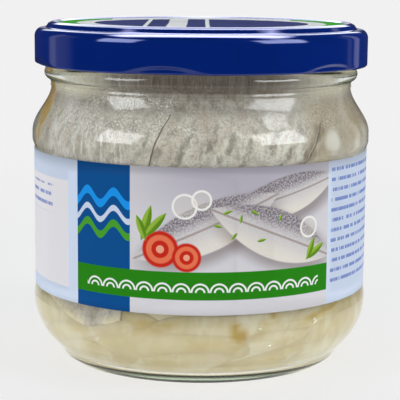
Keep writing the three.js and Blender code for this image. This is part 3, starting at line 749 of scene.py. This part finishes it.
def label_material():
    """Plain printed fields and simple shapes, laid out in millimetres on the paper."""
    nodes = new_material("printed_paper")
    product, mix, ramp, coat = nodes.product, nodes.mix, nodes.ramp, nodes.coat
    sheet = nodes.sheet("LabelMap")
    across, up, _ = nodes.split(sheet)

    def box(left, right, low, high, soft=0.06):
        return product(nodes.window(across, left, right, soft), nodes.window(up, low, high, soft))

    def placed(middle, half, lean):
        """The sheet as seen from a shape's middle, in units of its half sizes."""
        inputs = {"Vector": sheet, "Location": (*middle, 0), "Rotation": (0, 0, math.radians(lean)),
                  "Scale": (*half, 1)}
        return nodes.add("Mapping", inputs, vector_type="TEXTURE").outputs[0]

    def oval(middle, half, lean=0, soft=0.06):
        return nodes.fall(nodes.length(placed(middle, half, lean)), 1 - soft, 1 + soft)

    def disc(middle, radius):
        return oval(middle, (radius, radius))

    def ring(middle, radius, thick):
        return product(disc(middle, radius), nodes.math("SUBTRACT", 1.0, disc(middle, radius - thick)))

    def leaf(middle, half, lean):
        """A pointed leaf and the coordinate across it."""
        x, y, _ = nodes.split(placed(middle, half, lean))
        reach = nodes.math("MULTIPLY_ADD", x, x, nodes.math("ABSOLUTE", y))
        return nodes.fall(reach, 0.96, 1.04), y

    def wave(height, half):
        line = nodes.math("SINE", product(across, 2 * math.pi / WAVE_LENGTH))
        away = nodes.away(up, nodes.math("MULTIPLY_ADD", line, WAVE_SWING, height))
        return nodes.fall(away, half - 0.06, half + 0.06)

    def arches():
        """A row of nested half rings."""
        row = nodes.math("MODULO", nodes.math("ADD", across, 200.0), ARCH_PITCH)
        x = nodes.math("SUBTRACT", row, ARCH_PITCH / 2)
        rise = nodes.math("SUBTRACT", up, ARCH_HEIGHT)
        reach = nodes.math("SQRT", nodes.math("MULTIPLY_ADD", x, x, product(rise, rise)))
        rings = [nodes.fall(nodes.away(reach, radius), 0.16, 0.28) for radius in ARCH_RADII]
        return product(nodes.math("MAXIMUM", *rings), ramp(rise, -0.05, 0.05),
                       box(*ARCH_ENDS, 0, 12))

    def small_print():
        """Rows of thin broken bars in the place of small text."""
        row = nodes.math("FLOOR", nodes.math("DIVIDE", up, PRINT_PITCH))
        words = nodes.add("CombineXYZ", {0: across, 1: product(row, 7.3)}).outputs[0]
        broken = ramp(nodes.noise(words, 1.1, 2.0, 0.6), PRINT_FILL, PRINT_FILL + 0.04)
        within = nodes.math("SINE", product(up, 2 * math.pi / PRINT_PITCH))
        places = 0.0
        for place in SMALL_PRINT:
            places = nodes.math("MAXIMUM", places, box(*place))
        return product(places, broken, ramp(within, 0.35, 0.55), 0.75)

    # The picture panel: crossed silver fillets with garnish, in plain shapes.
    speckle = nodes.noise(sheet, 2.2, 3.0, 0.7)
    nodes.colour = mix(oval((9, 36), (22, 13), 0, 0.7), (218, 216, 221), (186, 181, 193))
    for middle, half, lean in FILLET_SHAPES:
        low = (middle[0] + 0.6, middle[1] - 1.6)
        coat(oval(low, (half[0] * 0.9, half[1] * 1.1), lean, 0.3), (128, 112, 110), 0.65)
        shape, side = leaf(middle, half, lean)
        body = mix(ramp(side, -0.9, 0.1), (236, 229, 216), (206, 201, 203))
        body = mix(ramp(side, 0.05, 0.6), body, (122, 112, 122))
        body = mix(ramp(speckle, 0.42, 0.62, 0.0, 0.6), body, (224, 221, 222))
        midline = ramp(nodes.math("ABSOLUTE", side), 0.02, 0.07, 0.7, 0.0)
        coat(shape, mix(midline, body, (150, 132, 122)))
    for middle, radius in ONION_SHAPES:
        coat(disc(middle, radius), (226, 222, 210), 0.35)
        coat(ring(middle, radius, 0.5), (246, 244, 240))
    for middle, radius in TOMATO_SHAPES:
        coat(disc(middle, radius), (206, 42, 28))
        coat(ring(middle, radius * 0.78, radius * 0.3), (236, 120, 84))
        coat(disc(middle, radius * 0.22), (240, 170, 140))
    for middle, half, lean in LEAF_SHAPES:
        shape, side = leaf(middle, half, lean)
        coat(shape, mix(ramp(side, -0.3, 0.3), (96, 142, 26), (150, 186, 66)))

    # The plain fields over it.
    coat(box(PICTURE_LEFT, FRONT_RIGHT, -1, STRIP_LOW), (222, 220, 225))
    band = (8, 80, 146)
    for height, half, tint in WAVES:
        band = mix(wave(height, half), band, tint)
    coat(box(FRONT_LEFT, PICTURE_LEFT, -1, 40), band)
    strip = mix(arches(), (40, 134, 20), (240, 243, 240))
    coat(box(FRONT_LEFT, FRONT_RIGHT, STRIP_LOW, STRIP_TOP), strip)

    # The side panels run round to the back, where the ends meet.
    panel = (214, 226, 246)
    for place in WHITE_PANELS:
        panel = mix(box(*place), panel, (242, 240, 245))
    panel = mix(small_print(), panel, (84, 116, 202))
    panel = mix(box(*BARS_GROUND), panel, (244, 244, 246))
    stripes = nodes.noise(nodes.add("CombineXYZ", {0: across}).outputs[0], 1.6, 4.0, 0.9)
    panel = mix(product(box(*BARS), ramp(stripes, 0.49, 0.51)), panel, (30, 34, 52))
    coat(nodes.math("SUBTRACT", 1.0, box(FRONT_LEFT, FRONT_RIGHT, -1, 40)), panel)
    fibre = nodes.noise(sheet, 3.0, 3.0)
    return nodes.surface(Roughness=0.55, Specular_IOR_Level=0.04,
                         Normal=nodes.bump(fibre, 0.02 * MM, 0.3))


def make_label():
    outer = LABEL_RADIUS + LABEL_SHEET
    front = [(outer, z) for z in heights(LABEL_BOTTOM, LABEL_TOP, 12)]
    back = [(LABEL_RADIUS, z) for _, z in reversed(front)]

    def lapped(radius, z, azimuth):
        """One end laps over the other and stands out by a sheet."""
        rise, end = LABEL_OVERLAP
        return radius + 1.2 * LABEL_SHEET * smooth(rise - 4, rise, azimuth) * (azimuth <= end), z

    label = turned("paper_label_wrap", front + back, label_material(), lapped, 480)
    layer = label.data.uv_layers.new(name="LabelMap")
    for polygon in label.data.polygons:
        middle = math.atan2(polygon.center.x, -polygon.center.y)
        for loop in polygon.loop_indices:
            point = label.data.vertices[label.data.loops[loop].vertex_index].co
            turn = math.atan2(point.x, -point.y)
            turn += 2 * math.pi * round((middle - turn) / (2 * math.pi))
            layer.data[loop].uv = (turn * outer, point.z / MM - LABEL_BOTTOM)
    return ride_as(label, "paper_label", "label")


# Fillets.

def grid_faces(first, back, across, up):
    """Faces of a closed slab: a grid of front points, the matching back points, and its rims."""
    row = across + 1
    faces = []
    for j in range(up):
        for i in range(across):
            a = first + j * row + i
            faces.append((a, a + 1, a + row + 1, a + row))
            b = back + j * row + i
            faces.append((b, b + row, b + row + 1, b + 1))
    for i in range(across):
        top = up * row + i
        faces.append((first + i, back + i, back + i + 1, first + i + 1))
        faces.append((first + top, first + top + 1, back + top + 1, back + top))
    for j in range(up):
        left, right = j * row, j * row + across
        faces.append((first + left, first + left + row, back + left + row, back + left))
        faces.append((first + right, back + right, back + right + row, first + right + row))
    return faces


def along(line, z):
    """Azimuth and gap of a meeting line at a height, with a slight wander that both sides share."""
    z = min(line[-1][0], max(line[0][0], z))
    for low, high in zip(line, line[1:]):
        if z <= high[0]:
            share = (z - low[0]) / (high[0] - low[0])
            break
    azimuth = low[1] + (high[1] - low[1]) * share
    gap = low[2] + (high[2] - low[2]) * share
    wander = 0.35 * drift(z * 0.35, line[0][1], 0) + 0.2 * drift(z * 1.3, line[0][1], 5)
    return azimuth + wander, gap


def roll(distance, width):
    """How far a rounded edge has turned in, 0 to 1, at a distance from it."""
    return 1 - math.sqrt(max(0.0, 1 - max(0.0, 1 - distance / width) ** 2))


def bareness(azimuth, z):
    """1 inside a patch of flesh, 0 on skin."""
    most = 0.0
    for middle, height, half, tall in BARE_PATCHES:
        offset = (azimuth - middle + 180) % 360 - 180
        wavy = 0.2 * drift(azimuth * 0.2, z * 0.3, 2)
        most = max(most, 1 - smooth(0.45, 1.1, math.hypot(offset / half, (z - height) / tall) + wavy))
    return most


def lower_end(fillet, u):
    """Height of the lower end of a fillet, from -1 at its left edge to 1 at its right."""
    return fillet["bottom"] + END_RISE * abs(u - fillet["dip"]) ** END_SHAPE


def fillet_points(fillet, number, across, up):
    """Front and back points of one fillet, with its own sheet coordinates, skin values, and edge values
    that carry painted shade.
    """
    front, back, sheet, skin, edge = [], [], [], [], []
    for j in range(up + 1):
        for i in range(across + 1):
            u = math.sin(math.pi / 2 * (2 * i / across - 1))
            bottom = lower_end(fillet, u)
            z = bottom + (fillet["top"] - bottom) * (j / up)
            left, left_gap = along(fillet["left"], z)
            right, right_gap = along(fillet["right"], z)
            left += left_gap / 2 / MM_PER_DEGREE
            right -= right_gap / 2 / MM_PER_DEGREE
            azimuth = left + (right - left) * (u + 1) / 2
            from_left = (azimuth - left) * MM_PER_DEGREE
            from_right = (right - azimuth) * MM_PER_DEGREE
            side = max(roll(from_left, fillet["rolls"][0]), roll(from_right, fillet["rolls"][1]))
            end = roll(z - bottom, END_ROLL)
            deep = LOOSE_DEPTH if u * LOOSE_SIDES.get(number, 0) > 0.5 else EDGE_DEPTH
            turned_in = max(deep * side, LOOSE_DEPTH * end)
            bare = bareness(azimuth, z)
            crease = Vector((azimuth * 0.075, z * 0.09, number * 3.1))
            dent = 0.22 * max(0.0, noise.noise(crease) + 0.1) + 0.05 * max(0.0, noise.noise(crease * 6))
            dent += bare * (0.15 + 0.2 * noise.noise(crease * 5))
            wall = inside_radius(max(z, INSIDE_BASE + 2)) - FOOD_GAP
            radius = wall - fillet["inset"] - turned_in - dent
            front.append(on_wall(azimuth, radius, z))
            behind = azimuth + BACK_SPREAD * (azimuth - (left + right) / 2)
            back.append(on_wall(behind, min(radius - 0.5, wall - FILLET_THICK), z))
            sheet.append(((azimuth + 31 * number) * MM_PER_DEGREE, z))
            tongue = 2.6 * math.exp(-((azimuth - DARK_TONGUE) / 4.5) ** 2)
            worn = smooth(0.6, 4.2, z - bottom + tongue + 2.0 * noise.noise(crease * 9))
            skin.append((1.0 - smooth(0.25, 0.6, side)) * worn * (1 - bare))
            # Painted shade beside the crevice and on turned-in edges, faded out high up.
            shade = 0.0
            for line, away in ((fillet["left"], from_left), (fillet["right"], from_right)):
                if line is CREVICE:
                    shade = max(shade, math.exp(-(away / CREVICE_SHADE) ** 2))
            shade *= 0.6 + 0.9 * drift(azimuth * 0.5, z * 0.45, 3)
            closed = 1 - 0.85 * smooth(60, 64, z)
            edge.append(closed * max(shade, smooth(0.02, 0.6, side)) if deep == EDGE_DEPTH else 0.0)
    return front, back, sheet, skin, edge


def make_fillets():
    """Each fillet is a bent slab, skin out, pressed against the glass."""
    points, faces, sheet, skin, edge = [], [], [], [], []
    across, up = 90, 130
    for number, fillet in enumerate(FILLETS):
        front, back, own_sheet, own_skin, own_edge = fillet_points(fillet, number, across, up)
        faces += grid_faces(len(points), len(points) + len(front), across, up)
        points += front + back
        sheet += own_sheet * 2
        skin += own_skin + [0.0] * len(back)
        edge += own_edge + [0.0] * len(back)
    obj = new_object("herring_fillets", points, faces, skin_material())
    store_values(obj, skin=skin, edge=edge)
    layer = obj.data.uv_layers.new(name="FilletMap")
    for loop in obj.data.loops:
        layer.data[loop.index].uv = sheet[loop.vertex_index]
    return ride_as(obj, "herring", "fillets")


def make_core():
    """The inner fillets, packed behind the ones that show."""
    def lumpy(radius, z, azimuth):
        place = round_place(azimuth, z, 3, 0.05)
        showing = math.exp(-(((azimuth - LOOSE_GAP[0] + 180) % 360 - 180) / LOOSE_GAP[1]) ** 2)
        bulge = GAP_BULGE[0] * showing * smooth(*GAP_BULGE[1:], z)
        uneven = 1.5 * noise.noise(place) * (1 - showing) + 0.5 * noise.noise(place * 4)
        return radius + bulge + uneven, z

    profile = filling(CORE_BOTTOM, CORE_TOP, 60, CORE_INSET)
    core = turned("packed_fish_core", profile, inner_flesh_material(), lumpy, 160)
    return ride_as(core, "herring")


# Onions.

def behind_fillet(azimuth, z):
    """1 where a fillet lies against the glass, 0 below it."""
    most = 0.0
    for fillet in FILLETS:
        left, right = along(fillet["left"], z)[0], along(fillet["right"], z)[0]
        u = 2 * ((azimuth - left) % 360) / (right - left) - 1
        if u <= 1:
            low = lower_end(fillet, u)
            most = max(most, smooth(low + 0.2, low + 1.8, z))
    return most


def slice_points(azimuth, height, long, wide, lean, thick=SLICE_THICK, inset=0.0):
    """A strip of an onion layer, bent to the glass and pressed flat against it."""
    across, section = 30, 20
    twist = math.radians(lean)
    points = []
    for i in range(across + 1):
        share = math.sin(math.pi / 2 * (2 * i / across - 1))
        slim = (1 - min(0.9995, abs(share)) ** SLICE_TAPER) ** 0.5
        bow = SLICE_BOW * long * share * share
        for k in range(section):
            around = 2 * math.pi * k / section
            side = wide * slim * math.sin(around) - bow
            x = long * share * math.cos(twist) - side * math.sin(twist)
            rise = long * share * math.sin(twist) + side * math.cos(twist)
            z = min(ONION_TOP, max(ONION_LOW, height + rise))
            turn = azimuth + math.degrees(x / SLICE_RADIUS)
            inwards = SLICE_ROOT if math.cos(around) < 0 else thick
            deep = thick - inwards * slim * math.cos(around) + BEHIND_DEPTH * behind_fillet(turn, z)
            points.append(on_wall(turn, inside_radius(z) - FOOD_GAP - inset - deep, z))
    faces = []
    for i in range(across):
        for k in range(section):
            a, b = i * section + k, i * section + (k + 1) % section
            faces.append((a, a + section, b + section, b))
    faces.append(tuple(range(section)))
    faces.append(tuple(across * section + k for k in reversed(range(section))))
    return points, faces


def ochre_at(point):
    """How ochre the onion is at a point in millimetres: soft patches with ragged edges."""
    azimuth = math.degrees(math.atan2(point.x, -point.y))
    most = 0.0
    for middle, height, half_long, half_wide, lean, strength in OCHRE_PATCHES:
        side = math.radians((azimuth - middle + 180) % 360 - 180) * SLICE_RADIUS
        if abs(side) > 2 * half_long:
            continue
        rise = point.z - height
        twist = math.radians(lean)
        x = (side * math.cos(twist) + rise * math.sin(twist)) / half_long
        y = (rise * math.cos(twist) - side * math.sin(twist)) / half_wide
        ragged = 0.35 * drift(side * 0.5, rise * 0.5, middle)
        reach = max(abs(x) + 0.35 * abs(y), abs(y) + 0.35 * abs(x)) + ragged
        most = max(most, strength * (1 - smooth(0.55, 1.15, reach)))
    return most


def finish_onion(obj, tones):
    """Gives each point its ochre and its own piece's tone."""
    store_values(obj, ochre=[ochre_at(vertex.co / MM) for vertex in obj.data.vertices], tone=tones)


def seeded_draws(seed):
    """Repeatable random numbers from -1 to 1."""
    state = seed
    while True:
        state = state * 16807 % 2147483647
        yield 2 * state / 2147483647 - 1


def ring_of_slices(ring, draws, count, inset=0.0):
    """Azimuth, height, half length, half width, lean, thickness and inset of each slice in a ring."""
    for number in range(count):
        yield (360 * number / count + STRAY_AZIMUTH * next(draws),
               ring["height"] + STRAY_HEIGHT * next(draws),
               ring["long"] * (1 + STRAY_LENGTH * next(draws)),
               ring["wide"] * (1 + STRAY_WIDTH * next(draws)),
               ring["lean"] + STRAY_LEAN * next(draws), SLICE_THICK, inset)


def make_onions():
    """The slices that lie against the glass, and more of them just behind."""
    draws, fine_draws = seeded_draws(SLICE_SEED), seeded_draws(FINE_SEED)
    slices = []
    for ring in ONION_RINGS:
        slices.extend(ring_of_slices(ring, draws, SLICES_PER_RING))
    for ring in ONION_RINGS:
        slices.extend(ring_of_slices(ring, fine_draws, 2 * SLICES_PER_RING, 0.3))
    points, faces, tones = [], [], []
    for own in slices:
        own_points, own_faces = slice_points(*own)
        faces += shifted(own_faces, len(points))
        points.extend(own_points)
        tones.extend([(next(fine_draws) + 1) / 2] * len(own_points))
    pieces = new_object("onion_slices", points, faces, onion_material())
    finish_onion(pieces, tones)
    return ride_as(pieces, "onion", "onions")


def make_onion_bed():
    """The slices further in, which close the view behind the ones against the glass."""
    def lumpy(radius, z, azimuth):
        sunk = BEHIND_DEPTH * behind_fillet(azimuth, z) if radius > BORE_RADIUS / 2 else 0.0
        return radius + 0.25 * noise.noise(round_place(azimuth, z, 6, 0.15)) - sunk, z

    profile = filling(INSIDE_BASE + INSIDE_DOME + 0.1, ONION_TOP, 24, PUCK_INSET)
    bed = turned("onion_bed", profile, onion_material(), lumpy, 160)
    finish_onion(bed, [0.5] * len(bed.data.vertices))
    return ride_as(bed, "onion")


def make_bubbles():
    """Small air bubbles in the brine, close to the glass, partly matt and pale as a painted highlight.
    """
    steps = 12
    ball = arc(0, 0, 1, -90, 90, steps)[1:-1]
    shape = turned("bubble", [(0, -1), *ball, (0, 1)], None, None, 2 * steps)
    points, faces = [], []
    for azimuth, height, radius in BUBBLES:
        middle = on_wall(azimuth, inside_radius(height) - radius - 0.02, height)
        faces += shifted((face.vertices for face in shape.data.polygons), len(points))
        points.extend(vertex.co / MM * radius + middle for vertex in shape.data.vertices)
    bpy.data.objects.remove(shape)
    # Painted highlight: the bubbles are partly matt and pale, in place of the lamps they would mirror.
    air = clear_material("air_bubble", (0.95, 1.0, 0.9), 1 / 1.34, clear=0.6)
    return ride_as(new_object("air_bubbles", points, faces, air), "brine")


# Stage.

def make_camera():
    camera = bpy.data.cameras.new("photo_camera")
    camera.sensor_width = SENSOR_MM
    camera.lens = SENSOR_MM * CAMERA_FOCAL_PX / PHOTO_PX
    camera.clip_start, camera.clip_end = 0.01, 20
    obj = bpy.data.objects.new("photo_camera", camera)
    tilt = Matrix.Rotation(math.radians(90 - CAMERA_PITCH), 4, "X")
    roll = Matrix.Rotation(math.radians(CAMERA_ROLL), 4, "Z")
    place = Matrix.Translation(Vector((0, -CAMERA_DISTANCE, CAMERA_HEIGHT)) * MM)
    obj.matrix_world = place @ tilt @ roll
    bpy.context.scene.collection.objects.link(obj)
    bpy.context.scene.camera = obj


def soften_edges(lamp):
    """Lets the glow of a lamp fade towards its rim, as behind a diffuser."""
    nodes = Nodes(lamp, "OutputLight")
    spot = nodes.split(nodes.add("NewGeometry").outputs["Parametric"])
    fades = [nodes.ramp(nodes.math("PINGPONG", share, 0.5), 0.0, LAMP_RIM) for share in spot[:2]]
    nodes.end(nodes.add("Emission", {"Color": (1, 1, 1), "Strength": nodes.product(*fades)}))


def make_softbox(name, azimuth, elevation, width, height, gloss, light):
    """A lamp aimed at the jar, as two lamps in one place: one is mirrored by glossy surfaces and
    one lights matt ones."""
    rise = math.radians(elevation)
    away = on_wall(azimuth, math.cos(rise), math.sin(rise))
    for part, radiance in (("gloss", gloss), ("light", light)):
        lamp = bpy.data.lights.new(name + "_" + part, "AREA")
        lamp.shape = "RECTANGLE"
        lamp.size, lamp.size_y = width, height
        lamp.energy = radiance * math.pi * width * height
        lamp.color = LAMP_COLOUR
        if part == "gloss":
            soften_edges(lamp)
        obj = bpy.data.objects.new(name + "_" + part, lamp)
        obj.location = Vector((0, 0, LAMP_AIM)) + away * LAMP_DISTANCE
        obj.rotation_euler = away.to_track_quat("Z", "Y").to_euler()
        obj.visible_diffuse = part == "light"
        obj.visible_glossy = part == "gloss"
        obj.visible_camera = False
        obj.visible_transmission = False
        bpy.context.scene.collection.objects.link(obj)


def make_world():
    """A pale studio: the camera sees it even, and gloss mirrors it pale behind and overhead and dark
    in front."""
    world = bpy.data.worlds.new("studio")
    bpy.context.scene.world = world
    nodes = Nodes(world, "OutputWorld")
    x, y, z = nodes.split(nodes.place("Generated"))
    azimuth = nodes.azimuth(x, y)
    strength = nodes.product(CEILING, nodes.ramp(y, *CEILING_Y), nodes.ramp(z, *CEILING_Z))
    strength = nodes.math("ADD", strength, DARK_STUDIO)
    low = nodes.math("LESS_THAN", z, PANEL_TOP_SHARE)
    for middle, half, pale in SIDE_PANELS:
        away = nodes.away(azimuth, math.radians(middle))
        panel = nodes.ramp(away, math.radians(half * 0.5), math.radians(half * 1.5), pale, 0.0)
        strength = nodes.math("ADD", strength, nodes.product(panel, low))
    mirrored = nodes.add("Background", {"Color": MIRRORED_COLOUR, "Strength": strength})
    seen = nodes.add("Background", {"Color": (1, 1, 1), "Strength": BACKDROP})
    fill = nodes.add("Background", {"Color": (1, 1, 1), "Strength": FILL_LIGHT})
    matt = nodes.add("LightPath").outputs["Is Diffuse Ray"]
    nodes.end(nodes.mix_shader(nodes.mirror_ray(), nodes.mix_shader(matt, seen, fill), mirrored))


def make_floor():
    """The table ends a little in front of the jar, where the studio is dark."""
    side, front, back = 3000, -450, 6000
    corners = [(-side, front, 0), (side, front, 0), (side, back, 0), (-side, back, 0)]
    floor = new_object("floor", corners, [(0, 1, 2, 3)], floor_material())
    floor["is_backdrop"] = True


def make_lights():
    for softbox in SOFTBOXES:
        make_softbox(*softbox)


def set_render():
    scene = bpy.context.scene
    scene.view_settings.view_transform = "Standard"
    scene.cycles.use_denoising = True
    scene.cycles.max_bounces = 20
    scene.cycles.transmission_bounces = 16
    scene.cycles.glossy_bounces = 12
    scene.cycles.transparent_max_bounces = 24
    scene.cycles.diffuse_bounces = 3
    scene.cycles.caustics_reflective = False
    scene.cycles.caustics_refractive = False


make_camera()
make_world()
make_lights()
make_floor()
make_jar()
make_brine()
make_lid()
make_label()
make_fillets()
make_core()
make_onions()
make_onion_bed()
make_bubbles()
set_render()

boxes = {"cad": cad_box, "visual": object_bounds()}
{key: [list(corner) for corner in box] for key, box in boxes.items()}
